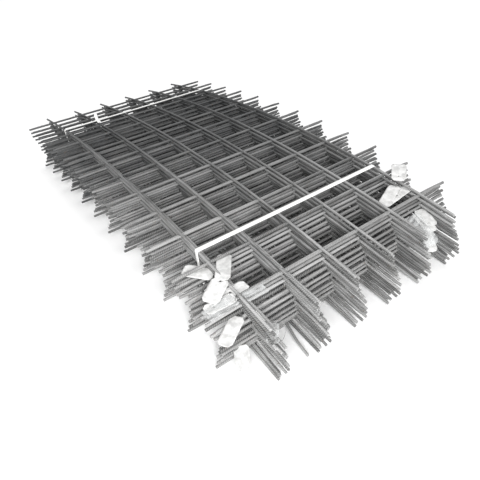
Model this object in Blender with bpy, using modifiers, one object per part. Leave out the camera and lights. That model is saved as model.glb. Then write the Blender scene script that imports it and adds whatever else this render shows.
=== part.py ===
"""A strapped bundle of welded wire mesh panels, the reinforcement for concrete slabs.

Units are metres and +Z is up. X runs across the bundle and Y along it, from the near end to the
far end. The origin is on the floor, under the middle of the bundle's outline.

A real bundle has 23 panels, every second one upside down, so that they nest: the bars of a panel
drop in beside those of its two neighbours. Each level of the stack then holds the bars of two
panels side by side, and is only one bar high. A node here is one layer of that stack, a level of
cross bars with a level of long bars on it, and two bars that lie side by side are drawn as one
flat bar. The lowest and the highest level belong to one panel only, so their bars are single.

Everything is first laid out flat. The whole bundle is then bowed along its length, because the
stack keeps the curve that its bars were rolled with: the middle stands off the floor and the
bar ends carry the weight.
"""

import math
import random

import bmesh
import bpy
from mathutils import Matrix, Vector

# Panel: square cells of crossing bars, with the long bars welded to one face of the cross bars
CELL = 0.150
LONG_BARS = 6
CROSS_BARS = 12
BAR = 0.009  # over the ribs of a nominal 8 mm bar
SIDE_OVERHANG = 0.117
NEAR_OVERHANG = 0.135
FAR_OVERHANG = 0.095

# Bundle
LAYERS = 12
SEAT_GAP = 0.0003
MIDDLE_SLIP = 0.020  # how far the layers halfway up have slid out towards the near end
STEP = 0.009  # the most that a layer lies out of line with the one below, each way
STEP_TURN = math.radians(0.15)
HELD = 0.88  # the share of that layer's own drift that it keeps
STACKING_SEED = 1533

# Bow, as straight lengths between kinks that all lie clear of the cross bars
BOW_RISE = 0.078
KINKS_FROM_MIDDLE = (0.145, 0.445)

# Straps: flat plastic bands pulled tight round the long bars, each with its lapped end on top
STRAP_WIDTH = 0.016
STRAP_THICKNESS = 0.0010
NEAR_STRAP_ROW = 1.44
FAR_STRAP_ROW = 9.40
LAP_LENGTH = 0.080
LAP_INSET = 0.0005  # how much narrower the upper end of a strap is, each side
LAP_AT = {"near": 0.175, "far": -0.300}

# Tags: blank cards tucked between the layers at the two near corners
TAG_THICKNESS = 0.0006
TAG_WIDTH = 0.075
TAG_LENGTH = 0.115
TAG_CLIP = 0.018
TAG_HOLE = 0.006

panel_width = (LONG_BARS - 1) * CELL + 2 * SIDE_OVERHANG
panel_length = NEAR_OVERHANG + (CROSS_BARS - 1) * CELL + FAR_OVERHANG
layer_height = 2 * BAR
layer_pitch = layer_height + SEAT_GAP
bundle_height = LAYERS * layer_height + (LAYERS - 1) * SEAT_GAP


def long_bar_x(index):
    """Place of a long bar across the panel, from the middle."""
    return (index - (LONG_BARS - 1) / 2) * CELL


def row_y(row):
    """Place along the panel, from its middle, with cross bar 0 at row 0."""
    return -panel_length / 2 + NEAR_OVERHANG + row * CELL


def bar_end_corners(across, along, skew):
    """Corners of a placed layer's bar ends, seen from above."""
    sides = (-1, 1)
    corners = [(a * panel_width / 2, row_y(row) + b * BAR)
               for row in range(CROSS_BARS) for a in sides for b in sides]
    corners += [(long_bar_x(i) + a * BAR, b * panel_length / 2)
                for i in range(LONG_BARS) for a in sides for b in sides]
    turn = Matrix.Rotation(skew, 2)
    return [turn @ Vector(corner) + Vector((across, along)) for corner in corners]


def stacked_places():
    """Shift across, shift along and skew of each layer, from the floor up.

    The bottom layer lies square, and each of the others a small step away from the one below. All
    are shifted together at the end, so that the middle of the bundle's outline is at the origin.
    """
    draw = random.Random(STACKING_SEED)
    drift = [0, 0, 0]
    places = [(0, 0, 0)]
    for level in range(1, LAYERS):
        steps = [draw.uniform(-most, most) for most in (STEP, STEP, STEP_TURN)]
        drift = [HELD * old + step for old, step in zip(drift, steps)]
        slip = MIDDLE_SLIP * math.sin(math.pi * level / (LAYERS - 1))
        places.append((drift[0], drift[1] - slip, drift[2]))
    corners = [corner for place in places for corner in bar_end_corners(*place)]
    middle = [(min(c[axis] for c in corners) + max(c[axis] for c in corners)) / 2 for axis in (0, 1)]
    return [(across - middle[0], along - middle[1], skew) for across, along, skew in places]


PLACES = stacked_places()


def kinks():
    """Places of the kinks along the bundle, with the middle of the bottom layer as the crown."""
    crown = PLACES[0][1]
    return sorted(crown + side * step for side in (-1, 1) for step in KINKS_FROM_MIDDLE)


def bow(y):
    """Height that the bow lifts a point by, straight between kinks, down to the floor at both ends."""
    crown, reach = PLACES[0][1], panel_length / 2
    knots = [crown - reach, *kinks(), crown + reach]
    heights = [BOW_RISE * (1 - ((knot - crown) / reach) ** 2) - BAR for knot in knots]
    span = sum(y > knot for knot in knots[1:-1])
    share = (y - knots[span]) / (knots[span + 1] - knots[span])
    return heights[span] + share * (heights[span + 1] - heights[span])


def bowed(bm):
    """Cuts the mesh at each kink and lifts it to the bow."""
    for kink in kinks():
        everything = bm.verts[:] + bm.edges[:] + bm.faces[:]
        bmesh.ops.bisect_plane(bm, geom=everything, dist=1e-6, plane_co=(0, kink, 0), plane_no=(0, 1, 0))
    for vert in bm.verts:
        vert.co.z += bow(vert.co.y)


def add_box(bm, low, high):
    """A box between two corners."""
    low, high = Vector(low), Vector(high)
    size = high - low
    place = Matrix.Translation((low + high) / 2) @ Matrix.Diagonal((*size, 1))
    bmesh.ops.create_cube(bm, size=1, matrix=place)


def material(name, colour, roughness, metallic):
    made = bpy.data.materials.new(name)
    made.use_nodes = True
    surface = made.node_tree.nodes["Principled BSDF"]
    surface.inputs["Base Color"].default_value = (*colour, 1)
    surface.inputs["Roughness"].default_value = roughness
    surface.inputs["Metallic"].default_value = metallic
    return made


def add_object(name, bm, finish, collection):
    mesh = bpy.data.meshes.new(name)
    bmesh.ops.recalc_face_normals(bm, faces=bm.faces[:])
    bm.to_mesh(mesh)
    bm.free()
    mesh.materials.append(finish)
    made = bpy.data.objects.new(name, mesh)
    collection.objects.link(made)
    return made


def fuse(base, other):
    """Joins the second object's solid to the first, which keeps the result as its mesh."""
    weld = base.modifiers.new("weld", "BOOLEAN")
    weld.operation = "UNION"
    weld.solver = "EXACT"
    weld.object = other
    graph = bpy.context.evaluated_depsgraph_get()
    joined = bpy.data.meshes.new_from_object(base.evaluated_get(graph))
    base.modifiers.clear()
    base.data = joined
    bpy.data.objects.remove(other)


def beside(number):
    """How many bars lie side by side in a layer's cross bars and in its long bars."""
    return (1 if number == 1 else 2), (1 if number == LAYERS else 2)


def long_bars(width):
    bm = bmesh.new()
    for i in range(LONG_BARS):
        x = long_bar_x(i) - BAR
        add_box(bm, (x, -panel_length / 2, BAR), (x + width, panel_length / 2, layer_height))
    return bm


def cross_bars(width):
    bm = bmesh.new()
    for j in range(CROSS_BARS):
        y = row_y(j) - BAR
        add_box(bm, (-panel_width / 2, y, 0), (panel_width / 2, y + width, BAR))
    return bm


def add_layers(collection):
    steel = material("bare_steel", (0.16, 0.16, 0.155), 0.55, 0.85)
    for number, (across, along, skew) in enumerate(PLACES, start=1):
        cross_count, long_count = beside(number)
        layer = add_object(f"panel_{number:02d}", long_bars(long_count * BAR), steel, collection)
        fuse(layer, add_object("cross_bars", cross_bars(cross_count * BAR), steel, collection))
        bm = bmesh.new()
        bm.from_mesh(layer.data)
        base = (number - 1) * layer_pitch
        place = Matrix.Translation((across, along, base)) @ Matrix.Rotation(skew, 4, "Z")
        bmesh.ops.transform(bm, matrix=place, verts=bm.verts[:])
        bowed(bm)
        bm.to_mesh(layer.data)
        bm.free()


def long_bar_sections(y):
    """Corners, in X and Z, of every long bar of the flat bundle where it passes y."""
    corners = []
    for number, (across, along, skew) in enumerate(PLACES, start=1):
        top = number * layer_pitch - SEAT_GAP
        width = beside(number)[1] * BAR
        for i in range(LONG_BARS):
            low = across + (long_bar_x(i) - BAR) / math.cos(skew) - math.tan(skew) * (y - along)
            corners += [(x, z) for x in (low, low + width / math.cos(skew)) for z in (top - BAR, top)]
    return corners


def taut_outline(points, clearance):
    """The tight line round the points, this far outside them, anticlockwise."""
    spread = sorted({(x + dx, z + dz) for x, z in points for dx in (-clearance, clearance)
                     for dz in (-clearance, clearance)})

    def half_hull(ordered):
        chain = []
        for x, z in ordered:
            while len(chain) > 1:
                (ax, az), (bx, bz) = chain[-2:]
                if (bx - ax) * (z - az) - (bz - az) * (x - ax) > 1e-9:
                    break
                chain.pop()
            chain.append((x, z))
        return chain[:-1]

    return half_hull(spread) + half_hull(spread[::-1])


def strap_band(y):
    """The closed band of one strap, lying flat in the bundle, with its wall still to come."""
    edges = (y - STRAP_WIDTH / 2, y + STRAP_WIDTH / 2)
    sections = [corner for edge in edges for corner in long_bar_sections(edge)]
    outline = taut_outline(sections, SEAT_GAP)
    bm = bmesh.new()
    ring = [bm.verts.new((x, edges[0], z)) for x, z in outline]
    loop = [bm.edges.new((ring[i - 1], ring[i])) for i in range(len(ring))]
    drawn = bmesh.ops.extrude_edge_only(bm, edges=loop)["geom"]
    moved = [item for item in drawn if isinstance(item, bmesh.types.BMVert)]
    bmesh.ops.translate(bm, vec=(0, STRAP_WIDTH, 0), verts=moved)
    return bm


def strap_top():
    """Height of a strap's upper face on the flat bundle."""
    return bundle_height + SEAT_GAP + STRAP_THICKNESS


def add_strap(name, row, finish, collection):
    """A strap round the bundle, with the lap where its two ends are welded together."""
    y = row_y(row)
    strap = add_object(f"strap_{name}", strap_band(y), finish, collection)
    wall = strap.modifiers.new("wall", "SOLIDIFY")
    wall.thickness = STRAP_THICKNESS
    wall.offset = 1
    wall.use_even_offset = True
    lap = bmesh.new()
    x, inset = LAP_AT[name], STRAP_WIDTH / 2 - LAP_INSET
    low = (x - LAP_LENGTH / 2, y - inset, strap_top() - STRAP_THICKNESS / 2)
    add_box(lap, low, (x + LAP_LENGTH / 2, y + inset, strap_top() + STRAP_THICKNESS))
    fuse(strap, add_object("lap", lap, finish, collection))
    bm = bmesh.new()
    bm.from_mesh(strap.data)
    bowed(bm)
    bm.to_mesh(strap.data)
    bm.free()


def add_straps(collection):
    band = material("white_strap", (0.86, 0.86, 0.85), 0.45, 0.0)
    add_strap("near", NEAR_STRAP_ROW, band, collection)
    add_strap("far", FAR_STRAP_ROW, band, collection)


def tag_outline():
    """A card with its two leading corners clipped, the wire's hole near that end."""
    half = TAG_WIDTH / 2
    end = TAG_LENGTH / 2
    card = [(-half, -end), (half, -end), (half, end - TAG_CLIP), (half - TAG_CLIP, end)]
    card += [(TAG_CLIP - half, end), (-half, end - TAG_CLIP)]
    hole = [(TAG_HOLE / 2 * math.cos(turn), end - TAG_CLIP + TAG_HOLE / 2 * math.sin(turn))
            for turn in (math.tau * k / 6 for k in range(6))]
    return card, hole


def tag_mesh():
    """The flat card as a mesh: a filled 2D curve with its thickness."""
    curve = bpy.data.curves.new("card", "CURVE")
    curve.dimensions = "2D"
    curve.fill_mode = "BOTH"
    curve.extrude = TAG_THICKNESS / 2
    for points in tag_outline():
        spline = curve.splines.new("POLY")
        spline.points.add(len(points) - 1)
        spline.use_cyclic_u = True
        for point, (x, y) in zip(spline.points, points):
            point.co = (x, y, 0, 1)
    drawn = bpy.data.objects.new("card", curve)
    bpy.context.scene.collection.objects.link(drawn)
    graph = bpy.context.evaluated_depsgraph_get()
    mesh = bpy.data.meshes.new_from_object(drawn.evaluated_get(graph))
    bpy.data.objects.remove(drawn)
    bm = bmesh.new()
    bm.from_mesh(mesh)
    bmesh.ops.remove_doubles(bm, verts=bm.verts[:], dist=0.00001)
    bmesh.ops.translate(bm, vec=(0, 0, TAG_THICKNESS / 2), verts=bm.verts[:])
    bm.to_mesh(mesh)
    bm.free()
    return mesh


# Each tag lies just under a layer, between two of its cross bars: the layer counted from the
# floor, the place in cells from long bar 0 and cross bar 0, and the turn in degrees.
TAGS = (
    (12, 4.62, 0.44, 99),
    (11, 5.27, 0.62, 96),
    (9, 4.94, -0.46, -72),
    (5, 4.78, -0.45, -97),
    (11, -0.24, 0.62, 97),
    (12, 0.22, 0.50, 98),
    (10, -0.30, 0.50, 84),
    (6, -0.10, -0.46, 104),
)


def add_tags(collection):
    card = material("white_card", (0.90, 0.90, 0.89), 0.60, 0.0)
    pattern = tag_mesh()
    for number, (layer, column, row, turn) in enumerate(TAGS, start=1):
        across, along, skew = PLACES[layer - 1]
        under = Matrix.Translation((across, along, (layer - 1) * layer_pitch)) @ Matrix.Rotation(skew, 4, "Z")
        spot = Matrix.Translation((long_bar_x(column), row_y(row), 0))
        bm = bmesh.new()
        bm.from_mesh(pattern)
        place = under @ spot @ Matrix.Rotation(math.radians(turn), 4, "Z")
        bmesh.ops.transform(bm, matrix=place, verts=bm.verts[:])
        bowed(bm)
        add_object(f"tag_{number}", bm, card, collection)
    bpy.data.meshes.remove(pattern)


def main():
    for old in list(bpy.data.objects):
        bpy.data.objects.remove(old)
    bundle = bpy.data.collections.new("welded_mesh_bundle")
    bpy.context.scene.collection.children.link(bundle)
    add_layers(bundle)
    add_straps(bundle)
    add_tags(bundle)


main()
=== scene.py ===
# %% [markdown]
# # A strapped bundle of reinforcement mesh
# Twenty-three welded steel panels, the kind that is cast into concrete slabs, are nested into one
# another and held by two plastic straps. The solids already give every size, so this file only
# dresses them: round ribbed bars in place of flat ones, straps with an embossed face, limp tags.
# The frame comes first, and its box is kept, because nothing here may grow past it.

# %% Load the solids
import math
import random

import bmesh
import bpy
from mathutils import Matrix, Vector, noise


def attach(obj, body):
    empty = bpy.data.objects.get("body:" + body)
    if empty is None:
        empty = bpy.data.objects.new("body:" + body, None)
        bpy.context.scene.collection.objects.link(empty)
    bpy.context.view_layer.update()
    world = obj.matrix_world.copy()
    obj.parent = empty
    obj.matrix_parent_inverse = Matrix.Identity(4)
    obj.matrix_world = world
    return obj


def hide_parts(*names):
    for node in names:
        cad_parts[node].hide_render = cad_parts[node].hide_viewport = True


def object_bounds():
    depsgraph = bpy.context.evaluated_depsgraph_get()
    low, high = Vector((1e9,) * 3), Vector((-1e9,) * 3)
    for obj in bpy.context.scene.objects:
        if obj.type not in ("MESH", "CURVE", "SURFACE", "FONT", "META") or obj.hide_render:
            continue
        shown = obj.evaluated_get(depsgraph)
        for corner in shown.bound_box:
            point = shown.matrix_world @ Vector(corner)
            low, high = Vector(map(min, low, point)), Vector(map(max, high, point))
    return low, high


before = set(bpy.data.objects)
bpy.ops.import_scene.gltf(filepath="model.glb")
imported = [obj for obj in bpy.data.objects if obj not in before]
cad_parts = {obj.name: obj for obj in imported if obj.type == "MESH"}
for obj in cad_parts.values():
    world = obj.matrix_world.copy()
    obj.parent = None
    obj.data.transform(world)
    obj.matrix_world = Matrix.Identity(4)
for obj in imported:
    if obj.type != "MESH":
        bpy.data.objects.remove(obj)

solid_box = [list(corner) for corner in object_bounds()]
print("box of the solids:", [[round(v, 4) for v in corner] for corner in solid_box])

# %% [markdown]
# ## Numbers of the bundle
# These are the numbers that the solids were made from. A panel has square cells of 150 mm. The
# bars are 8 mm nominal, which is 9 mm measured over the ribs. The solids come in twelve layers.

# %% Numbers of the bundle
CELL = 0.150
LONG_BARS, CROSS_BARS = 6, 12
BAR = 0.009
SIDE_OVERHANG, NEAR_OVERHANG, FAR_OVERHANG = 0.117, 0.135, 0.095
LAYERS, SEAT_GAP = 12, 0.0003
MIDDLE_SLIP, STEP, STEP_TURN, HELD = 0.020, 0.009, math.radians(0.15), 0.88
STACKING_SEED = 1533

panel_width = (LONG_BARS - 1) * CELL + 2 * SIDE_OVERHANG
panel_length = NEAR_OVERHANG + (CROSS_BARS - 1) * CELL + FAR_OVERHANG
layer_pitch = 2 * BAR + SEAT_GAP
bundle_height = LAYERS * layer_pitch - SEAT_GAP


def long_bar_x(index):
    return (index - (LONG_BARS - 1) / 2) * CELL


def row_y(row):
    return -panel_length / 2 + NEAR_OVERHANG + row * CELL


print("one panel measures", round(panel_width, 3), "by", round(panel_length, 3), "m")

# %% [markdown]
# ## How the layers lie
# Panels are dropped on one another by a crane, so each lies a small step away from the one below,
# and the ones halfway up have slid out a little. The solids draw the steps from a fixed seed, and
# the same draws are made here.

# %% Places of the layers
def bar_end_corners(across, along, skew):
    sides = (-1, 1)
    corners = [(a * panel_width / 2, row_y(row) + b * BAR)
               for row in range(CROSS_BARS) for a in sides for b in sides]
    corners += [(long_bar_x(i) + a * BAR, b * panel_length / 2)
                for i in range(LONG_BARS) for a in sides for b in sides]
    rotation = Matrix.Rotation(skew, 2)
    return [rotation @ Vector(corner) + Vector((across, along)) for corner in corners]


def stacked_places():
    draw = random.Random(STACKING_SEED)
    drift = [0, 0, 0]
    places = [(0, 0, 0)]
    for level in range(1, LAYERS):
        steps = [draw.uniform(-most, most) for most in (STEP, STEP, STEP_TURN)]
        drift = [HELD * old + step for old, step in zip(drift, steps)]
        slip = MIDDLE_SLIP * math.sin(math.pi * level / (LAYERS - 1))
        places.append((drift[0], drift[1] - slip, drift[2]))
    corners = [corner for place in places for corner in bar_end_corners(*place)]
    middle = [(min(c[axis] for c in corners) + max(c[axis] for c in corners)) / 2 for axis in (0, 1)]
    return [(across - middle[0], along - middle[1], skew) for across, along, skew in places]


PLACES = stacked_places()
print("top layer lies at", [round(v, 4) for v in PLACES[-1]])

# %% [markdown]
# Every second panel lies upside down. Its long bars drop in beside the long bars of the panel
# below, and the next panel's cross bars drop in beside its own, so the stack is only as high as
# if it had half as many panels. An upright panel fills the low side of its layer, and the
# upside-down one takes the high sides that are left in two neighbouring layers. It has a little
# play there, more along the bundle than across, and no panel may stick out of the box.

# %% Places of the panels
PLAY_ACROSS, PLAY_ALONG, PLAY_SEED = (0.001, 0.008), (0.003, 0.020), 5
SPARE = 0.002  # kept free inside the box at each side
REACH_ACROSS, REACH_ALONG = (
    (solid_box[1][axis] - solid_box[0][axis] - size) / 2 - SPARE
    for axis, size in ((0, panel_width), (1, panel_length)))


def held(value, most):
    return max(-most, min(most, value))


def nested_panels():
    """Name, layer, place, and the heights of the long and the cross bars of each panel."""
    loose = random.Random(PLAY_SEED)
    upright = [(held(across - BAR / 2, REACH_ACROSS), held(along - BAR / 2, REACH_ALONG), skew)
               for across, along, skew in PLACES]
    panels = []
    for layer, place in enumerate(upright, start=1):
        cross_height = (layer - 1) * layer_pitch + BAR / 2
        long_height = cross_height + BAR
        panels.append((f"ribbed_panel_{2 * layer - 1:02d}", layer, place, long_height, cross_height))
        if layer < LAYERS:
            above = upright[layer]
            across = held(place[0] + BAR + loose.uniform(*PLAY_ACROSS), REACH_ACROSS)
            along = held(above[1] + BAR + loose.uniform(*PLAY_ALONG), REACH_ALONG)
            turned = (across, along, (place[2] + above[2]) / 2)
            cross_height += layer_pitch
            panels.append((f"ribbed_panel_{2 * layer:02d}", layer, turned, long_height, cross_height))
    return panels


PANELS = nested_panels()
print(len(PANELS), "panels in", LAYERS, "layers")

# %% [markdown]
# ## The bow
# The wire that the bars are drawn from comes off a coil, and the stack keeps a little of that
# curve. The solids bend in a few straight lengths. Here the same bow is a smooth curve, kept a
# touch flatter so that its crown stays under theirs, and a hair off the floor at both ends.

# %% The bow
BOW_RISE, BOW_FOOT = 0.0732, 0.0024
BOW_CROWN, BOW_REACH = PLACES[0][1], panel_length / 2


def bow(y):
    return BOW_RISE * (1 - ((y - BOW_CROWN) / BOW_REACH) ** 2) - BAR + BOW_FOOT


print("the middle is lifted by", round(bow(BOW_CROWN) * 1000, 1), "mm")

# %% [markdown]
# ## Camera
# The camera was fitted to the bar ends in the photograph. Its place is counted in cells from the
# middle of the top panel, so that it follows the bundle if the stacking is changed.

# %% Camera
top_place = PANELS[-1][2]
TOP_MIDDLE = Vector((top_place[0], top_place[1], bow(BOW_CROWN) + bundle_height - BAR / 2))
CAMERA_PLACE = Vector((-5.4508, -10.1305, 5.0959)) * CELL
CAMERA_RIGHT = Vector((0.80807, -0.58495, -0.06964))
CAMERA_UP = Vector((0.40019, 0.45837, 0.79356))
FOCAL_PIXELS, PHOTO_PIXELS, SENSOR_WIDTH = 441.8, 480, 36


def add_object(name, data):
    made = bpy.data.objects.new(name, data)
    bpy.context.scene.collection.objects.link(made)
    return made


camera_data = bpy.data.cameras.new("camera")
camera_data.sensor_width = SENSOR_WIDTH
camera_data.lens = SENSOR_WIDTH * FOCAL_PIXELS / PHOTO_PIXELS
camera_data.clip_start = 0.02
camera = add_object("camera", camera_data)
turn = Matrix((CAMERA_RIGHT, CAMERA_UP, CAMERA_RIGHT.cross(CAMERA_UP))).transposed()
camera.matrix_world = Matrix.Translation(TOP_MIDDLE + CAMERA_PLACE) @ turn.to_4x4()
bpy.context.scene.camera = camera
print("camera stands at", [round(v, 3) for v in camera.location], "lens", round(camera_data.lens, 2))

# %% [markdown]
# ## Helpers for node trees
# Geometry and shader trees are both built by adding nodes and joining their sockets. Small
# helpers keep that short: put adds a node with its inputs set or linked, new_group gives a tree
# its named inputs and outputs, and the others add one kind of node each.

# %% Helpers for node trees
def put(tree, kind, inputs=None, **settings):
    """Adds a node. An input given as a socket is linked, any other is set."""
    made = tree.nodes.new(kind)
    for name, value in settings.items():
        setattr(made, name, value)
    for name, value in (inputs or {}).items():
        if isinstance(value, bpy.types.NodeSocket):
            tree.links.new(value, made.inputs[name])
        else:
            made.inputs[name].default_value = value
    return made


def calc(tree, operation, *values):
    """Adds a Math node and gives its result."""
    return put(tree, "ShaderNodeMath", dict(enumerate(values)), operation=operation).outputs[0]


def vector_calc(tree, operation, a, b):
    return put(tree, "ShaderNodeVectorMath", {0: a, 1: b}, operation=operation).outputs[0]


def vector(tree, x=0.0, y=0.0, z=0.0):
    return put(tree, "ShaderNodeCombineXYZ", {"X": x, "Y": y, "Z": z}).outputs[0]


def turn_about_z(tree, angle):
    return put(tree, "FunctionNodeEulerToRotation", {0: vector(tree, z=angle)}).outputs[0]


def cloud(tree, place, scale, detail, roughness=0.5):
    """The value of a noise texture."""
    inputs = {"Vector": place, "Scale": scale, "Detail": detail, "Roughness": roughness}
    return put(tree, "ShaderNodeTexNoise", inputs).outputs["Fac"]


def ramp(tree, value, start, end, low=0.0, high=1.0, interpolation="LINEAR"):
    """Goes from low to high while the value goes from start to end, and stays there."""
    inputs = {"Value": value, "From Min": start, "From Max": end, "To Min": low, "To Max": high}
    return put(tree, "ShaderNodeMapRange", inputs, interpolation_type=interpolation).outputs[0]


def new_group(name, kind, inputs, outputs):
    """A node group with named sockets, and its input and output nodes."""
    tree = bpy.data.node_groups.new(name, kind)
    for label, socket, value in inputs:
        made = tree.interface.new_socket(label, in_out="INPUT", socket_type="NodeSocket" + socket)
        if value is not None:
            made.default_value = value
    for label, socket in outputs:
        tree.interface.new_socket(label, in_out="OUTPUT", socket_type="NodeSocket" + socket)
    return tree, tree.nodes.new("NodeGroupInput").outputs, tree.nodes.new("NodeGroupOutput")


# %% [markdown]
# ## Rows of bars
# Every bar of a panel is the same straight bar, repeated at an even pitch, so one tree makes a
# row of them. It draws one line, cuts it into rings, copies it along the row, and sweeps a round
# section along each copy. Real bars aren't quite straight, and their ends get knocked about, so
# each line first wanders a little, more near its ends. The tree also stores a UV map: the
# distance along the bar, and how far to the side of its middle a point lies. The steel uses both
# to place the ribs.

# %% Tree for a row of bars
BAR_SIDES, UP_SHARE = 8, 0.25  # bars wander a quarter as far up and down as sideways
BROAD_WAVES, TIGHT_WAVES, TIP_SHARPNESS = 2.4, 5.0, 9.0
BAR_STRIDE, WAVE_STRIDE = 3.71, 40.0  # steps through the noise, so that no two waves are alike


def bar_row_tree():
    tree, given, end = new_group("bar_row", "GeometryNodeTree", [
        ("Bars", "Int", 6), ("Pitch", "Float", CELL), ("First", "Float", 0.0),
        ("Start", "Float", 0.0), ("Length", "Float", 1.0), ("Radius", "Float", BAR / 2),
        ("Ring Spacing", "Float", 0.03), ("Level", "Float", 0.0), ("Turn", "Float", 0.0),
        ("Wander", "Float", 0.010), ("Tip Bend", "Float", 0.020), ("Seed", "Float", 0.0),
    ], [("Geometry", "Geometry")])

    start = vector(tree, y=given["Start"])
    finish = vector(tree, y=calc(tree, "ADD", given["Start"], given["Length"]))
    line = put(tree, "GeometryNodeCurvePrimitiveLine", {"Start": start, "End": finish})
    rings = put(tree, "GeometryNodeResampleCurve",
                {"Curve": line.outputs[0], "Length": given["Ring Spacing"]}, mode="LENGTH")
    row = put(tree, "GeometryNodeMeshLine",
              {"Count": given["Bars"], "Start Location": vector(tree, given["First"]),
               "Offset": vector(tree, given["Pitch"])})
    copies = put(tree, "GeometryNodeInstanceOnPoints",
                 {"Points": row.outputs[0], "Instance": rings.outputs[0]})
    bars = put(tree, "GeometryNodeRealizeInstances", {"Geometry": copies.outputs[0]}).outputs[0]

    which = tree.nodes.new("GeometryNodeCurveOfPoint")
    spline = tree.nodes.new("GeometryNodeSplineParameter")
    place = tree.nodes.new("GeometryNodeInputPosition").outputs[0]
    own = calc(tree, "MULTIPLY_ADD", which.outputs["Curve Index"], BAR_STRIDE, given["Seed"])
    along = vector_calc(tree, "MULTIPLY", place, (0.0, 1.0, 0.0))

    def drift(scale, shift, amount):
        wave = put(tree, "ShaderNodeTexNoise",
                   {"Vector": along, "W": calc(tree, "ADD", own, shift), "Scale": scale, "Detail": 1.0},
                   noise_dimensions="4D")
        centred = vector_calc(tree, "SUBTRACT", wave.outputs["Color"], (0.5, 0.5, 0.5))
        size = vector(tree, x=amount, z=calc(tree, "MULTIPLY", amount, UP_SHARE))
        return vector_calc(tree, "MULTIPLY", centred, size)

    from_middle = calc(tree, "ABSOLUTE", calc(tree, "MULTIPLY_ADD", spline.outputs["Factor"], 2.0, -1.0))
    near_tip = calc(tree, "POWER", from_middle, TIP_SHARPNESS)
    tip_bend = calc(tree, "MULTIPLY", near_tip, given["Tip Bend"])
    sway = vector_calc(tree, "ADD", drift(BROAD_WAVES, 0.0, given["Wander"]),
                       drift(TIGHT_WAVES, WAVE_STRIDE, tip_bend))
    bent = put(tree, "GeometryNodeSetPosition", {"Geometry": bars, "Offset": sway}).outputs[0]

    sized = put(tree, "GeometryNodeSetCurveRadius",
                {"Curve": bent, "Radius": given["Radius"]}).outputs[0]
    measured = put(tree, "GeometryNodeCaptureAttribute", {"Geometry": sized}, domain="POINT")
    measured.capture_items.new("FLOAT", "along")
    tree.links.new(calc(tree, "ADD", spline.outputs["Length"], own), measured.inputs["along"])

    ring = put(tree, "GeometryNodeCurvePrimitiveCircle",
               {"Resolution": BAR_SIDES, "Radius": 1.0}).outputs[0]
    marked = put(tree, "GeometryNodeCaptureAttribute", {"Geometry": ring}, domain="POINT")
    marked.capture_items.new("FLOAT", "side")
    tree.links.new(put(tree, "ShaderNodeSeparateXYZ", {0: place}).outputs["X"], marked.inputs["side"])

    swept = put(tree, "GeometryNodeCurveToMesh",
                {"Curve": measured.outputs[0], "Profile Curve": marked.outputs[0], "Fill Caps": True})
    tree.links.new(tree.nodes.new("GeometryNodeInputRadius").outputs[0], swept.inputs["Scale"])
    pair = vector(tree, measured.outputs["along"], marked.outputs["side"])
    mapped = put(tree, "GeometryNodeStoreNamedAttribute",
                 {"Geometry": swept.outputs[0], "Name": "UVMap", "Value": pair},
                 data_type="FLOAT2", domain="CORNER")
    turned = put(tree, "GeometryNodeTransform",
                 {"Geometry": mapped.outputs[0], "Translation": vector(tree, z=given["Level"]),
                  "Rotation": turn_about_z(tree, given["Turn"])})
    tree.links.new(turned.outputs[0], end.inputs[0])
    return tree


bar_row = bar_row_tree()
print("bar tree has", len(bar_row.nodes), "nodes")

# %% [markdown]
# ## One panel
# A panel is two rows of bars with a bead of squeezed-out steel at each weld. The panel tree
# calls the row tree twice, the second time with a quarter turn, scatters a bead on every
# crossing, moves the lot to its place in the stack, and then lifts each point by the bow.
# Only a few numbers differ between panels, and those are the tree's inputs.

# %% Tree for a panel
CROSS_STRIDE = 51.3  # a step through the noise from the long bars to the cross bars
BEAD_SHAPE, BEAD_TILT, BEAD_SEED = (1.0, 1.12, 0.42), (0.5, 0.5, 6.28), 3


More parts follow.
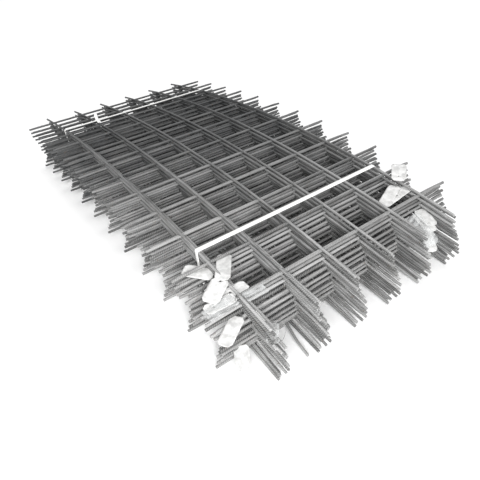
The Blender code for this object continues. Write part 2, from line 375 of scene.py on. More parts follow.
def panel_tree():
    tree, given, end = new_group("mesh_panel", "GeometryNodeTree", [
        ("Across", "Float", 0.0), ("Along", "Float", 0.0), ("Skew", "Float", 0.0),
        ("Long Height", "Float", 1.5 * BAR), ("Cross Height", "Float", 0.5 * BAR),
        ("Ring Spacing", "Float", 0.03), ("Wander", "Float", 0.010), ("Tip Bend", "Float", 0.020),
        ("Bead", "Float", 0.0052), ("Bow Rise", "Float", BOW_RISE), ("Bow Crown", "Float", BOW_CROWN),
        ("Seed", "Float", 0.0), ("Steel", "Material", None),
    ], [("Geometry", "Geometry")])

    shared = {name: given[name] for name in ("Ring Spacing", "Wander", "Tip Bend")}
    long_row = put(tree, "GeometryNodeGroup", {
        **shared, "Bars": LONG_BARS, "First": long_bar_x(0), "Start": -panel_length / 2,
        "Length": panel_length, "Level": given["Long Height"], "Seed": given["Seed"],
    }, node_tree=bar_row)
    cross_row = put(tree, "GeometryNodeGroup", {
        **shared, "Bars": CROSS_BARS, "First": row_y(0), "Start": -panel_width / 2,
        "Length": panel_width, "Level": given["Cross Height"], "Turn": math.pi / 2,
        "Seed": calc(tree, "ADD", given["Seed"], CROSS_STRIDE),
    }, node_tree=bar_row)

    both_heights = calc(tree, "ADD", given["Long Height"], given["Cross Height"])
    weld_height = calc(tree, "MULTIPLY", both_heights, 0.5)
    across = put(tree, "GeometryNodeMeshLine",
                 {"Count": LONG_BARS, "Start Location": vector(tree, long_bar_x(0), z=weld_height),
                  "Offset": (CELL, 0, 0)})
    along = put(tree, "GeometryNodeMeshLine",
                {"Count": CROSS_BARS, "Start Location": (0, row_y(0), 0), "Offset": (0, CELL, 0)})
    grid = put(tree, "GeometryNodeInstanceOnPoints",
               {"Points": along.outputs[0], "Instance": across.outputs[0]})
    crossings = put(tree, "GeometryNodeRealizeInstances", {"Geometry": grid.outputs[0]})
    bead = put(tree, "GeometryNodeMeshIcoSphere", {"Radius": given["Bead"], "Subdivisions": 2})
    tilt = put(tree, "FunctionNodeRandomValue",
               {"Min": (0, 0, 0), "Max": BEAD_TILT, "Seed": BEAD_SEED}, data_type="FLOAT_VECTOR")
    beads = put(tree, "GeometryNodeInstanceOnPoints",
                {"Points": crossings.outputs[0], "Instance": bead.outputs[0], "Rotation": tilt.outputs[0],
                 "Scale": BEAD_SHAPE})

    joined = put(tree, "GeometryNodeJoinGeometry")
    for part in (long_row, cross_row, put(tree, "GeometryNodeRealizeInstances", {0: beads.outputs[0]})):
        tree.links.new(part.outputs[0], joined.inputs[0])
    placed = put(tree, "GeometryNodeTransform",
                 {"Geometry": joined.outputs[0], "Translation": vector(tree, given["Across"], given["Along"]),
                  "Rotation": turn_about_z(tree, given["Skew"])}).outputs[0]

    here = put(tree, "ShaderNodeSeparateXYZ", {0: tree.nodes.new("GeometryNodeInputPosition").outputs[0]})
    share = calc(tree, "DIVIDE", calc(tree, "SUBTRACT", here.outputs["Y"], given["Bow Crown"]), BOW_REACH)
    fallen = calc(tree, "SUBTRACT", 1.0, calc(tree, "MULTIPLY", share, share))
    lift = calc(tree, "MULTIPLY_ADD", fallen, given["Bow Rise"], BOW_FOOT - BAR)
    bowed = put(tree, "GeometryNodeSetPosition", {"Geometry": placed, "Offset": vector(tree, z=lift)})
    smooth = put(tree, "GeometryNodeSetShadeSmooth", {"Geometry": bowed.outputs[0], "Shade Smooth": True})
    whole = put(tree, "GeometryNodeRealizeInstances", {"Geometry": smooth.outputs[0]})
    finished = put(tree, "GeometryNodeSetMaterial",
                   {"Geometry": whole.outputs[0], "Material": given["Steel"]})
    tree.links.new(finished.outputs[0], end.inputs[0])
    return tree


mesh_panel = panel_tree()
print("panel tree has", len(mesh_panel.nodes), "nodes")

# %% [markdown]
# ## Dust and grime
# The steel, the straps and the tags have all stood in the same yard, so one shader group gives
# them all the same dirt. It mixes a dust colour into a base colour by a soft noise and makes
# the dusty places rougher. Each material sets its own amount.

# %% Shader group for dust
def mix_colours(tree, factor, a, b):
    """A colour mix. Its sockets are found by type, since each name is there once for every type."""
    mixed = put(tree, "ShaderNodeMix", data_type="RGBA")
    for label, kind, value in (("Factor", "VALUE", factor), ("A", "RGBA", a), ("B", "RGBA", b)):
        socket = next(s for s in mixed.inputs if s.name == label and s.type == kind)
        if isinstance(value, bpy.types.NodeSocket):
            tree.links.new(value, socket)
        else:
            socket.default_value = (*value, 1)
    return next(s for s in mixed.outputs if s.type == "RGBA")


def dust_group():
    tree, given, end = new_group("yard_dust", "ShaderNodeTree", [
        ("Color", "Color", (0.5, 0.5, 0.5, 1)), ("Roughness", "Float", 0.5),
        ("Dust Color", "Color", (0.4, 0.38, 0.34, 1)), ("Amount", "Float", 0.3), ("Scale", "Float", 9.0),
    ], [("Color", "Color"), ("Roughness", "Float")])
    place = tree.nodes.new("ShaderNodeTexCoord").outputs["Object"]
    broad = cloud(tree, place, given["Scale"], 5.0, 0.62)
    fine = cloud(tree, place, 420.0, 2.0)
    both = calc(tree, "MULTIPLY_ADD", fine, 0.35, calc(tree, "MULTIPLY", broad, 0.8))
    amount = calc(tree, "MULTIPLY", ramp(tree, both, 0.48, 0.78), given["Amount"])
    tree.links.new(mix_colours(tree, amount, given["Color"], given["Dust Color"]), end.inputs["Color"])
    rough = calc(tree, "MULTIPLY_ADD", amount, 0.3, given["Roughness"])
    tree.links.new(rough, end.inputs["Roughness"])
    return tree


yard_dust = dust_group()


def new_material(name):
    made = bpy.data.materials.new(name)
    made.use_nodes = True
    return made, made.node_tree, made.node_tree.nodes["Principled BSDF"]


def read_uv(tree):
    """The two coordinates of the UV map."""
    uv = tree.nodes.new("ShaderNodeUVMap")
    uv.uv_map = "UVMap"
    return put(tree, "ShaderNodeSeparateXYZ", {0: uv.outputs[0]}).outputs


def finish_with_dust(tree, shader, colour, roughness, amount, scale, dust):
    group = put(tree, "ShaderNodeGroup", {
        "Color": colour, "Roughness": roughness, "Amount": amount, "Scale": scale,
        "Dust Color": (*dust, 1)}, node_tree=yard_dust)
    tree.links.new(group.outputs["Color"], shader.inputs["Base Color"])
    tree.links.new(group.outputs["Roughness"], shader.inputs["Roughness"])


def raise_surface(tree, shader, height, strength, distance):
    bump = put(tree, "ShaderNodeBump", {"Height": height, "Strength": strength, "Distance": distance})
    tree.links.new(bump.outputs[0], shader.inputs["Normal"])


# %% [markdown]
# ## Bare ribbed steel
# Rolled bar is covered with mill scale: a thin blue-grey skin, darker in patches and from bar to
# bar, worn bright along the ribs, with freckles of rust. All its tones are painted lighter towards
# the near left corner and darker towards the far end: painted light, as from a lamp at the near
# end. The ribs are read from the UV map. Their phase runs with the distance along the bar and
# leans with the distance to the side, which gives slanting ribs, and they fade towards the two
# sides, as real ones do.

# %% Bare ribbed steel
RIB_PITCH, RIB_LEAN = 0.0062, 0.42


def bare_steel():
    made, tree, shader = new_material("bare_steel")
    place = tree.nodes.new("ShaderNodeTexCoord").outputs["Object"]
    uv = read_uv(tree)
    lean = calc(tree, "MULTIPLY", uv["Y"], RIB_LEAN)
    phase = calc(tree, "ADD", calc(tree, "DIVIDE", uv["X"], RIB_PITCH), lean)
    wave = calc(tree, "SINE", calc(tree, "MULTIPLY", phase, math.tau))
    crest = ramp(tree, wave, 0.1, 0.95, interpolation="SMOOTHSTEP")
    middle = calc(tree, "SUBTRACT", 1.0, calc(tree, "POWER", calc(tree, "ABSOLUTE", uv["Y"]), 4.0))
    rib = calc(tree, "MULTIPLY", crest, calc(tree, "MAXIMUM", middle, 0.0))

    patches = cloud(tree, place, 14.0, 6.0, 0.6)
    own_tone = put(tree, "ShaderNodeTexNoise", {"W": uv["X"], "Scale": 0.9, "Detail": 0.0},
                   noise_dimensions="1D").outputs["Fac"]
    tones = calc(tree, "MULTIPLY_ADD", patches, 0.45, calc(tree, "MULTIPLY", own_tone, 0.55))
    spot = put(tree, "ShaderNodeSeparateXYZ", {0: place}).outputs
    # painted light: every tone of the steel is made lighter towards the near left corner and darker towards
    # the far end
    far_right = calc(tree, "MULTIPLY_ADD", spot["X"], 0.5, spot["Y"])
    painted_near_light = ramp(tree, far_right, 0.35, -1.0, interpolation="SMOOTHSTEP")
    dark = mix_colours(tree, painted_near_light, (0.026, 0.028, 0.030), (0.080, 0.081, 0.08))
    light = mix_colours(tree, painted_near_light, (0.095, 0.097, 0.099), (0.36, 0.36, 0.358))
    rubbed = mix_colours(tree, painted_near_light, (0.15, 0.152, 0.154), (0.50, 0.50, 0.498))
    skin = mix_colours(tree, ramp(tree, tones, 0.36, 0.64), dark, light)
    worn = mix_colours(tree, calc(tree, "MULTIPLY", rib, 0.55), skin, rubbed)
    freckles = ramp(tree, cloud(tree, place, 130.0, 4.0), 0.62, 0.72, high=0.5)
    rusty = mix_colours(tree, freckles, worn, (0.115, 0.075, 0.05))
    finish_with_dust(tree, shader, rusty, 0.55, 0.20, 5.0, (0.24, 0.235, 0.22))
    shader.inputs["Metallic"].default_value = 0.15
    shader.inputs["Specular IOR Level"].default_value = 0.3

    pits = cloud(tree, place, 900.0, 2.0)
    raise_surface(tree, shader, calc(tree, "MULTIPLY_ADD", pits, 0.12, rib), 0.8, 0.0007)
    return made


steel = bare_steel()
print("steel has", len(steel.node_tree.nodes), "nodes")

# %% [markdown]
# ## The panels
# Now the tree is run once for each panel. The modifier is turned into a plain mesh and dropped,
# and the panel rides on the model's one body. The upright panel of each layer takes the place of
# the layer's solid. The lowest and highest panels are straighter, held by floor and straps.

# %% Make the panels
STRAIGHT, CROOKED = {"Wander": 0.003, "Tip Bend": 0.004}, {"Wander": 0.010, "Tip Bend": 0.030}
PANEL_STRIDE = 11.7  # a step through the noise from one panel to the next


def grown(name, tree, values):
    """Runs a geometry tree on an empty object and gives the result as a plain mesh object."""
    carrier = add_object(name + "_seed", bpy.data.meshes.new(name + "_seed"))
    modifier = carrier.modifiers.new("tree", "NODES")
    modifier.node_group = tree
    for item in tree.interface.items_tree:
        if item.in_out == "INPUT" and item.name in values:
            modifier[item.identifier] = values[item.name]
    graph = bpy.context.evaluated_depsgraph_get()
    mesh = bpy.data.meshes.new_from_object(carrier.evaluated_get(graph))
    bpy.data.objects.remove(carrier)
    mesh.name = name
    return add_object(name, mesh)


total = 0
for number, (name, layer, place, long_height, cross_height) in enumerate(PANELS):
    panel = grown(name, mesh_panel, {
        "Across": place[0], "Along": place[1], "Skew": place[2],
        "Long Height": long_height, "Cross Height": cross_height,
        "Seed": PANEL_STRIDE * number, "Steel": steel,
        **(STRAIGHT if number < 2 or layer == LAYERS else CROOKED),
    })
    if number % 2 == 0:
        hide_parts(f"panel_{layer:02d}")
    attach(panel, "root")
    total += sum(len(face.vertices) - 2 for face in panel.data.polygons)
print("panels have", total, "triangles")

# %% [markdown]
# ## Strap finish
# The straps are white polyester with a waffle pressed into both faces, so that they don't slip.
# The waffle is two crossed waves on the strap's own UV map, which is in metres. Its hollows are
# painted a little darker than its ridges, as painted shade.

# %% Strap finish
WAFFLE = 0.0032


def strap_finish():
    made, tree, shader = new_material("white_strap")
    uv = read_uv(tree)
    slants = [calc(tree, operation, uv["X"], uv["Y"]) for operation in ("ADD", "SUBTRACT")]
    ridges = [calc(tree, "SINE", calc(tree, "MULTIPLY", slant, math.tau / WAFFLE)) for slant in slants]
    # painted shade: the waffle's hollows get a darker colour than its ridges; the same value raises the bump
    waffle_relief_and_painted_shade = ramp(tree, calc(tree, "MAXIMUM", *ridges), -0.2, 0.9)
    colour = mix_colours(tree, waffle_relief_and_painted_shade, (0.80, 0.80, 0.785), (0.90, 0.90, 0.89))
    finish_with_dust(tree, shader, colour, 0.42, 0.22, 16.0, (0.50, 0.48, 0.44))
    raise_surface(tree, shader, waffle_relief_and_painted_shade, 0.5, 0.0003)
    return made


strap_white = strap_finish()

# %% [markdown]
# ## Straps
# A tight strap takes the shortest way round the outermost bars: the convex outline of their
# sections. Each section is drawn as a ring of points, the outline is found, and a thin flat
# section is swept round it.

# %% Path of a strap
STRAP_WIDTH, STRAP_THICKNESS = 0.016, 0.0010
STRAP_ROWS = {"near": 1.44, "far": 9.40}
STRAP_STEP, OUTLINE_SIDES = 0.03, 24


def convex_outline(points):
    """The tight line round the points, anticlockwise."""
    def half(ordered):
        chain = []
        for x, z in ordered:
            while len(chain) > 1:
                (ax, az), (bx, bz) = chain[-2:]
                if (bx - ax) * (z - az) - (bz - az) * (x - ax) > 1e-10:
                    break
                chain.pop()
            chain.append((x, z))
        return chain[:-1]

    spread = sorted(points)
    return half(spread) + half(spread[::-1])


def strap_outline(y):
    reach = BAR / 2 + SEAT_GAP
    points = []
    for _, _, (across, along, skew), centre_z, _ in PANELS:
        for x in (long_bar_x(0), long_bar_x(LONG_BARS - 1)):
            centre_x = across + x / math.cos(skew) - math.tan(skew) * (y - along)
            points += [(centre_x + reach * math.cos(a), centre_z + reach * math.sin(a))
                       for a in (math.tau * k / OUTLINE_SIDES for k in range(OUTLINE_SIDES))]
    return convex_outline(points)


def sampled(path, step):
    """The closed path with extra points, so that no piece is longer than a step."""
    points = []
    for k, corner in enumerate(path):
        a, b = Vector(corner), Vector(path[(k + 1) % len(path)])
        parts = max(1, math.ceil((b - a).length / step))
        points += [a.lerp(b, part / parts) for part in range(parts)]
    return points


STRAP_PATHS = {which: sampled(strap_outline(row_y(row)), STRAP_STEP) for which, row in STRAP_ROWS.items()}
for which, path in STRAP_PATHS.items():
    length = sum((path[k] - path[k - 1]).length for k in range(len(path)))
    print(which, "strap is", round(length, 3), "m round")

# %% [markdown]
# The band's section has rounded edges, because a sharp one would never catch the light. Each
# ring of the section stands square to the path, and the bow lifts every point by its own place.

# %% Sweep a band
def band_section(width, thickness):
    """Points of the band's section as (across, out), round its edge."""
    half, edge = width / 2, thickness / 2
    return [(-half + edge, 0), (-half, edge * 0.6), (-half, edge * 1.4), (-half + edge, thickness),
            (0, thickness * 1.08), (half - edge, thickness), (half, edge * 1.4), (half, edge * 0.6),
            (half - edge, 0), (0, 0)]


def band(centres, normals, middle_y, width, thickness, closed):
    """A flat band along (x, z) centres, lifted by the bow, with a UV map in metres."""
    section = band_section(width, thickness)
    bm = bmesh.new()
    uv_layer = bm.loops.layers.uv.new("UVMap")
    rings, runs, run = [], [], 0.0
    for k, (centre, normal) in enumerate(zip(centres, normals)):
        run += (centre - centres[k - 1]).length if k else 0.0
        runs.append(run)
        ring = []
        for across, out in section:
            spot = centre + normal * out
            y = middle_y + across
            ring.append(bm.verts.new((spot.x, y, spot.y + bow(y))))
        rings.append(ring)
    runs.append(run + (centres[0] - centres[-1]).length)
    for k in range(len(rings) if closed else len(rings) - 1):
        a, b = rings[k], rings[(k + 1) % len(rings)]
        for i in range(len(section)):
            j = (i + 1) % len(section)
            face = bm.faces.new((a[i], a[j], b[j], b[i]))
            corners = ((k, i), (k, j), (k + 1, j), (k + 1, i))
            for loop, (ring, side) in zip(face.loops, corners):
                loop[uv_layer].uv = (runs[ring], section[side][0])
    if not closed:
        bm.faces.new(rings[0])
        bm.faces.new(rings[-1][::-1])
    bmesh.ops.recalc_face_normals(bm, faces=bm.faces[:])
    return bm


def outward(points):
    """The outward direction at each point of a closed anticlockwise path in (x, z)."""
    steps = [(points[(k + 1) % len(points)] - points[k - 1]).normalized() for k in range(len(points))]
    return [Vector((step.y, -step.x)) for step in steps]


def dressed(name, bm, material, slot, *nodes):
    mesh = bpy.data.meshes.new(name)
    bm.to_mesh(mesh)
    bm.free()
    mesh.materials.append(material)
    for face in mesh.polygons:
        face.use_smooth = True
    made = add_object(name, mesh)
    if nodes:
        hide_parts(*nodes)
    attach(made, "root")


for which, path in STRAP_PATHS.items():
    loop = band(path, outward(path), row_y(STRAP_ROWS[which]), STRAP_WIDTH, STRAP_THICKNESS, True)
    dressed(f"woven_strap_{which}", loop, strap_white, "white_strap", f"strap_{which}")

# %% [markdown]
# ## Laps
# Each strap ends in a lap: the loose end lies on the first turn for the width of a hand and is
# melted onto it, which leaves a row of shallow dents.

# %% Laps
LAPS = {"near": 0.175, "far": -0.300}
LAP_LENGTH, LAP_PARTS, LAP_DENTS, DENT_DEPTH = 0.080, 24, 3, 0.00022
LAP_LIFT, LAP_WIDTH, LAP_THICKNESS = 0.95, 0.96, 0.8  # as shares of the strap's own

for which, middle_x in LAPS.items():
    top = max(point.y for point in STRAP_PATHS[which]) + STRAP_THICKNESS * LAP_LIFT
    shares = [k / LAP_PARTS for k in range(LAP_PARTS + 1)]
    dents = [DENT_DEPTH * max(0.0, math.cos(math.tau * LAP_DENTS * share)) for share in shares]
    centres = [Vector((middle_x + LAP_LENGTH * (0.5 - share), top - dent))
               for share, dent in zip(shares, dents)]
    lap = band(centres, [Vector((0, 1))] * len(centres), row_y(STRAP_ROWS[which]),
               STRAP_WIDTH * LAP_WIDTH, STRAP_THICKNESS * LAP_THICKNESS, False)
    dressed(f"strap_lap_{which}", lap, strap_white, "white_strap")

# %% [markdown]
# ## Thin sheets
# Cards, film and the strap's tail are all thin sheets, so one function makes them. It is given a
# rule for the place of a point, from its shares along and across the sheet, and lays a grid of
# points by it. A round hole is made by taking out one grid point with its four faces and pulling
# the eight points about it onto a circle. Places are counted in cells of the top panel.
# The ruffles come from a noise with a fixed seed, so that they are the same in every run.

# %% Thin sheets
UP = Vector((0, 0, 1))
RUFFLES_ALONG, RUFFLES_ACROSS, CARD_STRIDE = 38, 26, 1.7  # steps through the noise
SIDE_RUFFLE, CORNER_SLOPE = 0.6, 0.8
RUFFLE_SEED = 4  # not 0, because the noise would then start from the clock
noise.seed_set(RUFFLE_SEED)


def in_cells(column, row, rise):
    """A place in cells from long bar 0 and cross bar 0 of the top panel, this far above it in metres."""
    flat = Matrix.Rotation(top_place[2], 2) @ Vector((long_bar_x(column), row_y(row)))
    x, y = flat.x + top_place[0], flat.y + top_place[1]
    return Vector((x, y, bow(y) + bundle_height - BAR / 2 + rise))


def sheet(place, parts_along, parts_across, thickness, hole=None, hole_radius=0.0035):
    """A thin sheet through place(s, t), s from 0 to 1 along it and t from -1 to 1 across it."""
    bm = bmesh.new()
    uv_layer = bm.loops.layers.uv.new("UVMap")
    shares = [(i / parts_along, 2 * j / parts_across - 1)
              for i in range(parts_along + 1) for j in range(parts_across + 1)]
    dots = [bm.verts.new(place(s, t)) for s, t in shares]
    long_way = (Vector(place(1, 0)) - Vector(place(0, 0))).length
    short_way = (Vector(place(0.5, 1)) - Vector(place(0.5, -1))).length
    row = parts_across + 1
    for i in range(parts_along):
        for j in range(parts_across):
            corners = (i * row + j, i * row + j + 1, (i + 1) * row + j + 1, (i + 1) * row + j)
            face = bm.faces.new([dots[k] for k in corners])
            for loop, k in zip(face.loops, corners):
                loop[uv_layer].uv = (shares[k][0] * long_way, shares[k][1] * short_way / 2)
    if hole:
        i, j = round(hole * parts_along), parts_across // 2
        centre = dots[i * row + j].co.copy()
        for di in (-1, 0, 1):
            for dj in (-1, 0, 1):
                dot = dots[(i + di) * row + j + dj]
                if di or dj:
                    dot.co = centre + (dot.co - centre).normalized() * hole_radius
        bm.verts.remove(dots[i * row + j])
    bmesh.ops.recalc_face_normals(bm, faces=bm.faces[:])
    bmesh.ops.solidify(bm, geom=bm.faces[:], thickness=thickness)
    return bm


def limp(start, end, width, lean=0.0, sag=0.0, cup=0.0, ruffle=0.001, seed=0, clip=0.010):
    """The rule of a limp card with clipped corners, which leans to one side, sags, cups and is ruffled."""
    start, end = Vector(start), Vector(end)
    heading = (end - start).normalized()
    side = heading.cross(UP).normalized()
    side = side * math.cos(lean) + heading.cross(side) * -math.sin(lean)
    face = side.cross(heading)
    length = (end - start).length

    def place(s, t):
        from_end = min(s, 1 - s) * length
        half = width / 2 - max(0.0, clip - from_end) * CORNER_SLOPE
        spot = start.lerp(end, s) + side * (half * t)
        along, across = s * length * RUFFLES_ALONG + seed, t * width * RUFFLES_ACROSS
        wave = noise.noise_vector(Vector((along, across, seed * CARD_STRIDE)))
        bend = -sag * 4 * s * (1 - s) + cup * t * t
        return spot + face * (bend + ruffle * wave.z) + side * (ruffle * SIDE_RUFFLE * wave.x)

    return place


# %% [markdown]
# ## Card and film
# Card is matt and nearly white; the hollows between its creases are painted a little darker, as
# painted shade. The film is a soft clear plastic, clouded in streaks, so that the bars show
# through it in places.

# %% Card and film
def card_finish():
    made, tree, shader = new_material("white_card")
    creases = cloud(tree, tree.nodes.new("ShaderNodeTexCoord").outputs["Object"], 60.0, 3.0)
    # painted shade: the card is made darker where the crease noise is low, in the hollows of the bump
    painted_crease_shade = ramp(tree, creases, 0.35, 0.6)
    colour = mix_colours(tree, painted_crease_shade, (0.48, 0.48, 0.475), (0.68, 0.68, 0.675))
    finish_with_dust(tree, shader, colour, 0.62, 0.15, 22.0, (0.50, 0.48, 0.44))
    raise_surface(tree, shader, creases, 0.4, 0.0012)
    return made


def film_finish():
    made, tree, shader = new_material("clouded_film")
    place = tree.nodes.new("ShaderNodeTexCoord").outputs["Object"]
    stretched = put(tree, "ShaderNodeMapping", {"Vector": place, "Scale": (30.0, 90.0, 30.0)}).outputs[0]
    streaks = cloud(tree, stretched, 1.0, 4.0)
    tree.links.new(ramp(tree, streaks, 0.36, 0.66, 0.06, 0.55), shader.inputs["Alpha"])
    shader.inputs["Base Color"].default_value = (0.66, 0.67, 0.67, 1)
    shader.inputs["Roughness"].default_value = 0.22
    raise_surface(tree, shader, streaks, 0.7, 0.0015)
    return made


white_card, clouded_film = card_finish(), film_finish()

# %% [markdown]
# ## Cards at the two near corners
# Cards are tucked between the bars at both near corners. Two lie fanned out at the right corner,
# a crumpled one sits on the edge bar, and a folded pair and one more lie lower down. At the left
# corner they are heaped under and over the edge bar. Some have a hole for a wire. A piece of film
# lies at each corner too, and two more over the bars at the left one.

# %% Cards at the two near corners
CARD_GRID, CARD_THICKNESS = (28, 10), 0.0005
FILM_GRID, FILM_THICKNESS = (40, 16), 0.0002

# Name, solid that it stands for, start and end as (column, row, rise), width, rule and hole
CARDS = (
    ("fanned_card_1", "tag_1", (4.06, 0.22, -0.0085), (4.89, 0.56, -0.0085), 0.042,
     dict(ruffle=0.0006, seed=3), None),
    ("fanned_card_2", None, (4.08, 0.25, -0.0100), (5.10, 0.36, -0.0100), 0.040,
     dict(ruffle=0.0006, seed=8), 0.55),
    ("edge_card", "tag_2", (4.93, 0.52, 0.0110), (5.44, 0.94, 0.0140), 0.050,
     dict(sag=-0.004, cup=0.003, ruffle=0.0035, seed=12), 0.20),
    ("folded_card_1", "tag_3", (4.92, -0.10, -0.050), (4.78, -0.62, -0.054), 0.044,
     dict(cup=0.003, ruffle=0.0020, seed=21), None),
    ("folded_card_2", None, (4.80, -0.14, -0.056), (4.66, -0.70, -0.062), 0.044,
     dict(cup=0.004, ruffle=0.0020, seed=27), 0.12),
    ("low_right_card", "tag_4", (4.86, -0.30, -0.090), (4.40, -0.92, -0.100), 0.044,
     dict(cup=0.003, ruffle=0.0020, seed=33), None),
    ("side_card", "tag_5", (-0.03, 0.76, -0.0175), (-0.42, 1.22, -0.0180), 0.050,
     dict(cup=-0.002, ruffle=0.0012, seed=41), None),
    ("tall_card", "tag_6", (-0.06, 0.40, 0.0075), (0.44, 1.08, -0.0170), 0.044,
     dict(sag=-0.003, ruffle=0.0010, seed=46), None),
    ("corner_card_1", "tag_7", (-0.04, 0.46, 0.0040), (-0.50, 0.18, -0.0060), 0.052,
     dict(sag=-0.002, ruffle=0.0014, seed=52), 0.12),
    ("corner_card_2", None, (0.30, 0.17, -0.0090), (-0.30, 0.17, -0.0070), 0.042,
     dict(ruffle=0.0008, seed=57), 0.62),
    ("corner_card_3", None, (-0.06, 0.02, -0.0030), (-0.66, 0.06, -0.0060), 0.040,
     dict(cup=0.002, ruffle=0.0014, seed=63), 0.70),
    ("low_left_card", "tag_8", (-0.12, -0.12, -0.0530), (-0.68, -0.46, -0.0560), 0.042,
     dict(cup=0.002, ruffle=0.0014, seed=70), None),
    ("hanging_card", None, (-0.18, -0.20, -0.1500), (-0.42, -0.62, -0.1620), 0.044,
     dict(cup=0.002, ruffle=0.0014, seed=75), None),
    ("scrap_of_card", None, (0.10, -0.36, -0.0180), (0.09, -0.62, -0.0190), 0.020,
     dict(ruffle=0.0014, seed=81, clip=0.004), None),
)

# Name, start and end, width and rule
FILMS = (
    ("film_at_right", (4.52, -0.16, -0.0450), (4.30, -0.92, -0.0700), 0.066,
     dict(lean=-0.45, cup=0.006, ruffle=0.0050, seed=91)),
    ("film_at_left", (0.20, -0.68, -0.0300), (-0.02, -0.96, -0.0380), 0.034,
     dict(cup=0.004, ruffle=0.0040, seed=97, clip=0.004)),
    ("film_over_cross_bar", (0.50, -0.14, -0.0010), (0.06, -0.10, -0.0020), 0.038,
     dict(ruffle=0.0016, seed=99, clip=0.004)),
    ("film_over_stubs", (-0.10, -0.02, -0.0005), (-0.72, -0.06, -0.0040), 0.048,
     dict(ruffle=0.0020, seed=103, clip=0.004)),
)

for name, solid, start, end, width, rule, hole in CARDS:
    place = limp(in_cells(*start), in_cells(*end), width, **rule)
    card = sheet(place, *CARD_GRID, CARD_THICKNESS, hole)
    dressed(name, card, white_card, "white_card", *([solid] if solid else []))

for name, start, end, width, rule in FILMS:
    place = limp(in_cells(*start), in_cells(*end), width, **rule)
    dressed(name, sheet(place, *FILM_GRID, FILM_THICKNESS), clouded_film, None)

print(len(CARDS), "cards and", len(FILMS), "pieces of film")

# %% [markdown]
# ## Tie wires and the bent bar
# Thin wires tie the cards to the bars. Each goes round a bar one and a half times and ends in a
# tail. Another bit of wire holds the film, and a bent bar end sticks out beside the second long
# bar, near the floor. All are round, swept along a smooth line through a few points.

# %% Tie wires and the bent bar
WIRE, LOOP_RADIUS, LOOP_PITCH, TAIL_RISE = 0.0014, 0.0062, 0.0012, 0.004
LINE_PARTS, WIRE_SIDES, LOOP_SIDES = 8, 8, 8


def smooth_path(points, parts):
    """A smooth line through the points."""
    chain = [points[0], *points, points[-1]]
    found = []
    for k in range(len(points) - 1):
        a, b, c, d = chain[k:k + 4]
        for part in range(parts):
            t = part / parts
            found.append(0.5 * (2 * b + (c - a) * t + (2 * a - 5 * b + 4 * c - d) * t * t
                                + (3 * b - a - 3 * c + d) * t * t * t))
    return found + [points[-1]]


def swept_wire(name, points, diameter):
    """A round steel wire along a smooth line through the points."""
    path = smooth_path(points, LINE_PARTS)
    bm = bmesh.new()
    uv_layer = bm.loops.layers.uv.new("UVMap")
    rings, runs, run = [], [], 0.0
    across = UP
    turns = [math.tau * side / WIRE_SIDES for side in range(WIRE_SIDES + 1)]
    for k, spot in enumerate(path):
        run += (spot - path[k - 1]).length if k else 0.0
        heading = (path[min(k + 1, len(path) - 1)] - path[max(k - 1, 0)]).normalized()
        across = (across - heading * across.dot(heading)).normalized()
        other = heading.cross(across)
        rings.append([bm.verts.new(spot + (across * math.cos(turn) + other * math.sin(turn)) * diameter / 2)
                      for turn in turns[:-1]])
        runs.append(run)
    for k in range(len(rings) - 1):
        a, b = rings[k], rings[k + 1]
        for side in range(WIRE_SIDES):
            following = (side + 1) % WIRE_SIDES
            face = bm.faces.new((a[side], a[following], b[following], b[side]))
            corners = ((k, side), (k, side + 1), (k + 1, side + 1), (k + 1, side))
            for loop, (ring, turn) in zip(face.loops, corners):
                loop[uv_layer].uv = (runs[ring], math.cos(turns[turn]))
    bm.faces.new(rings[0])
    bm.faces.new(rings[-1][::-1])
    bmesh.ops.recalc_face_normals(bm, faces=bm.faces[:])
    dressed(name, bm, steel, "bare_steel")


def loop_round_bar(column, row, tail):
    """Points of a wire loop round a long bar of the top panel, with a tail in this direction, in metres."""
    middle = in_cells(column, row, 0.0)
    turns = [math.tau * k / LOOP_SIDES for k in range(LOOP_SIDES * 3 // 2 + 1)]
    ring = [middle + Vector((LOOP_RADIUS * math.cos(turn), LOOP_PITCH * turn, LOOP_RADIUS * math.sin(turn)))
            for turn in turns]
    return ring + [ring[-1] + Vector(tail) * 0.5 + UP * TAIL_RISE, ring[-1] + Vector(tail)]


# Name, column and row of the loop, and the way that its tail goes
TIES = (
    ("tie_wire_left", 0, 0.24, (0.012, -0.022, 0.006)),
    ("tie_wire_left_2", 0, -0.06, (-0.016, -0.020, 0.005)),
    ("tie_wire_right", 5, 0.46, (-0.020, -0.004, -0.010)),
)

# Name, diameter, and points as (column, row, rise)
LOOSE_ENDS = (
    ("film_wire", WIRE, ((0.10, -0.66, -0.020), (0.30, -0.78, -0.016), (0.30, -0.92, -0.030),
                         (0.12, -0.98, -0.050), (0.02, -0.88, -0.046))),
    ("bent_bar_end", BAR, ((1.04, 0.06, -0.1990), (0.98, -0.20, -0.2010), (0.90, -0.55, -0.2020),
                           (0.86, -0.90, -0.2030))),
)

for name, column, row, tail in TIES:
    swept_wire(name, loop_round_bar(column, row, tail), WIRE)
for name, diameter, knots in LOOSE_ENDS:
    swept_wire(name, [in_cells(*knot) for knot in knots], diameter)
print(len(TIES), "tie wires and", len(LOOSE_ENDS), "loose ends")

# %% [markdown]
# ## Tail of the far strap
# Some 110 mm of the far strap was left over. It springs up from the strap and leans away from the
# camera.

# %% Tail of the far strap
TAIL_THICKNESS, TAIL_GRID, TAIL_PARTS = 0.0008, (24, 4), 6
TAIL_KNOTS = ((1.03, 9.02, 0.0056), (1.05, 9.20, 0.0060), (1.08, 9.42, 0.0110),
              (1.13, 9.62, 0.0200), (1.18, 9.74, 0.0240))
TAIL_SIDE = Vector((1, 0.1, 0.12)).normalized()

tail_line = smooth_path([in_cells(*knot) for knot in TAIL_KNOTS], TAIL_PARTS)


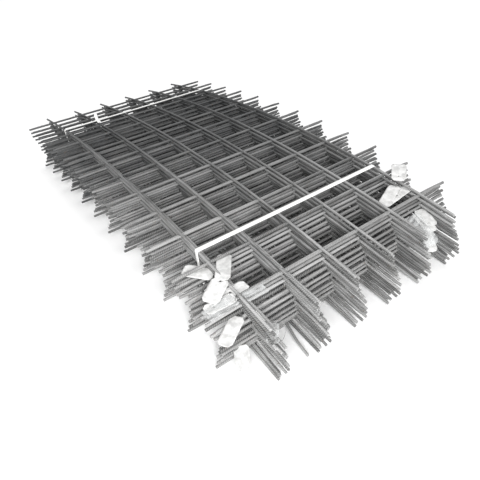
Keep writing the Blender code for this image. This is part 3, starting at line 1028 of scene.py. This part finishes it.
def tail_place(s, t):
    reach = s * (len(tail_line) - 1)
    k = min(int(reach), len(tail_line) - 2)
    return tail_line[k].lerp(tail_line[k + 1], reach - k) + TAIL_SIDE * (t * STRAP_WIDTH / 2)


dressed("strap_tail", sheet(tail_place, *TAIL_GRID, TAIL_THICKNESS), strap_white, "white_strap")

# %% [markdown]
# ## Floor, light and backdrop
# The photograph is cut out on white, so floor and world are pale. Much of the light is an even
# sky and what the floor throws back, so both walls of each cell show alike. A soft sun comes from
# behind the camera, so that the shadow falls away from it, and a weaker one from overhead. A lamp
# near the front brightens the near end, which is brighter in the photograph too.

# %% Floor, light and backdrop
FLOOR_REACH, SKY_STRENGTH = 30, 0.42
LAMP_AIM = (1.0, 0.5, 0.0)  # column, row and rise of the point that the front lamp is turned to


def pale_floor():
    bm = bmesh.new()
    bmesh.ops.create_grid(bm, x_segments=1, y_segments=1, size=FLOOR_REACH)
    mesh = bpy.data.meshes.new("floor")
    bm.to_mesh(mesh)
    bm.free()
    made, _, shader = new_material("pale_floor")
    shader.inputs["Base Color"].default_value = (0.95, 0.95, 0.95, 1)
    shader.inputs["Roughness"].default_value = 0.9
    shader.inputs["Specular IOR Level"].default_value = 0.1
    mesh.materials.append(made)
    add_object("floor", mesh)


def facing(direction):
    """The turn of a lamp that stands in this direction from what it lights."""
    return Vector(direction).to_track_quat("Z", "Y").to_matrix().to_4x4()


def soft_sun(name, direction, strength, angle):
    """A sun that stands in this direction from the bundle, blurred to this many degrees."""
    data = bpy.data.lights.new(name, "SUN")
    data.energy, data.angle = strength, math.radians(angle)
    add_object(name, data).matrix_world = facing(direction)


def front_lamp(place, watts, size):
    """A soft square lamp at this place, turned towards the near end."""
    data = bpy.data.lights.new("front", "AREA")
    data.energy, data.size = watts, size
    direction = Vector(place) - in_cells(*LAMP_AIM)
    add_object("front", data).matrix_world = Matrix.Translation(place) @ facing(direction)


def pale_world():
    world = bpy.data.worlds.new("studio")
    bpy.context.scene.world = world
    world.use_nodes = True
    tree = world.node_tree
    plain = tree.nodes["Background"]
    plain.inputs["Color"].default_value = (1, 1, 1, 1)
    path = tree.nodes.new("ShaderNodeLightPath")
    seen = calc(tree, "MAXIMUM", path.outputs["Is Camera Ray"], path.outputs["Is Transmission Ray"])
    seen = calc(tree, "MAXIMUM", seen, path.outputs["Is Glossy Ray"])
    tree.links.new(ramp(tree, seen, 0.0, 1.0, SKY_STRENGTH, 1.0), plain.inputs["Strength"])


pale_floor()
pale_world()
soft_sun("key", (-0.35, -1.0, 0.7), 2.0, 18)
soft_sun("overhead", (0.3, 0.3, 1.0), 1.0, 40)
front_lamp((-1.5, -2.2, 1.2), 50, 1.2)

bpy.context.scene.view_settings.view_transform = "Standard"
